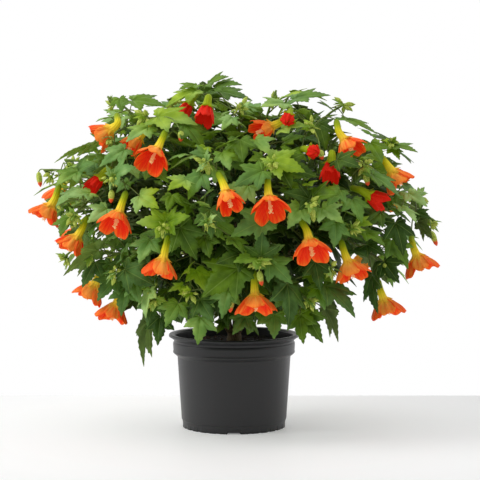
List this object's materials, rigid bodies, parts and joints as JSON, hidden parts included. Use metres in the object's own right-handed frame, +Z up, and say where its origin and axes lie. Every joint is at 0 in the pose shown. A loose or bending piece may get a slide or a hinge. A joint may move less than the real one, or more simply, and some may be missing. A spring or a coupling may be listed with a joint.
{
  "type": "potted flowering plant",
  "caption": "Flowering maple in a round nursery pot: arching leafy stems with lobed leaves and hanging orange bell blooms.",
  "frame": {"origin": "centre of the pot's foot, on the plane it stands on", "axes": "+Z up, +X to the right in the picture, -Y toward the viewer"},
  "size_m": [0.599, 0.597, 0.5237],
  "materials": {
    "pot": "satin black plastic",
    "soil": "loose bark and peat",
    "bark": "smooth thin bark",
    "leaf": "soft living leaf, dull with a slight sheen",
    "petal": "soft living petal"
  },
  "bodies": {
    "root": {"pot": "pot", "soil": "soil", "woody_stems": "bark", "leafy_branch_1": "leaf", "leafy_branch_2": "leaf", "leafy_branch_3": "leaf", "leafy_branch_4": "leaf", "leafy_branch_5": "leaf", "leafy_branch_6": "leaf", "leafy_branch_7": "leaf", "leafy_branch_8": "leaf", "leafy_branch_9": "leaf", "leafy_branch_10": "leaf", "leafy_branch_11": "leaf", "leafy_branch_12": "leaf", "leafy_branch_13": "leaf", "leafy_branch_14": "leaf", "leafy_branch_15": "leaf", "leafy_branch_16": "leaf", "leafy_branch_17": "leaf", "leafy_branch_18": "leaf", "leafy_branch_19": "leaf", "leafy_branch_20": "leaf", "bloom_1": "petal", "bloom_2": "petal", "bloom_3": "petal", "bloom_4": "petal", "bloom_5": "petal", "bloom_6": "petal", "bloom_7": "petal", "bloom_8": "petal", "bloom_9": "petal", "bloom_10": "petal", "bloom_11": "petal", "bloom_12": "petal", "bloom_13": "petal", "bloom_14": "petal", "bloom_15": "petal", "bloom_16": "petal", "bloom_17": "petal", "bloom_18": "petal", "bloom_19": "petal", "bloom_20": "petal", "bloom_21": "petal", "bloom_22": "petal", "bloom_23": "petal", "bloom_24": "petal", "bloom_25": "petal", "bloom_26": "petal", "bloom_27": "petal", "bloom_28": "petal", "bloom_29": "petal", "bloom_30": "petal", "bloom_31": "petal", "bloom_32": "petal", "bloom_33": "petal", "bloom_34": "petal", "bloom_35": "petal", "bloom_36": "petal", "bloom_37": "petal"}
  },
  "joints": []
}
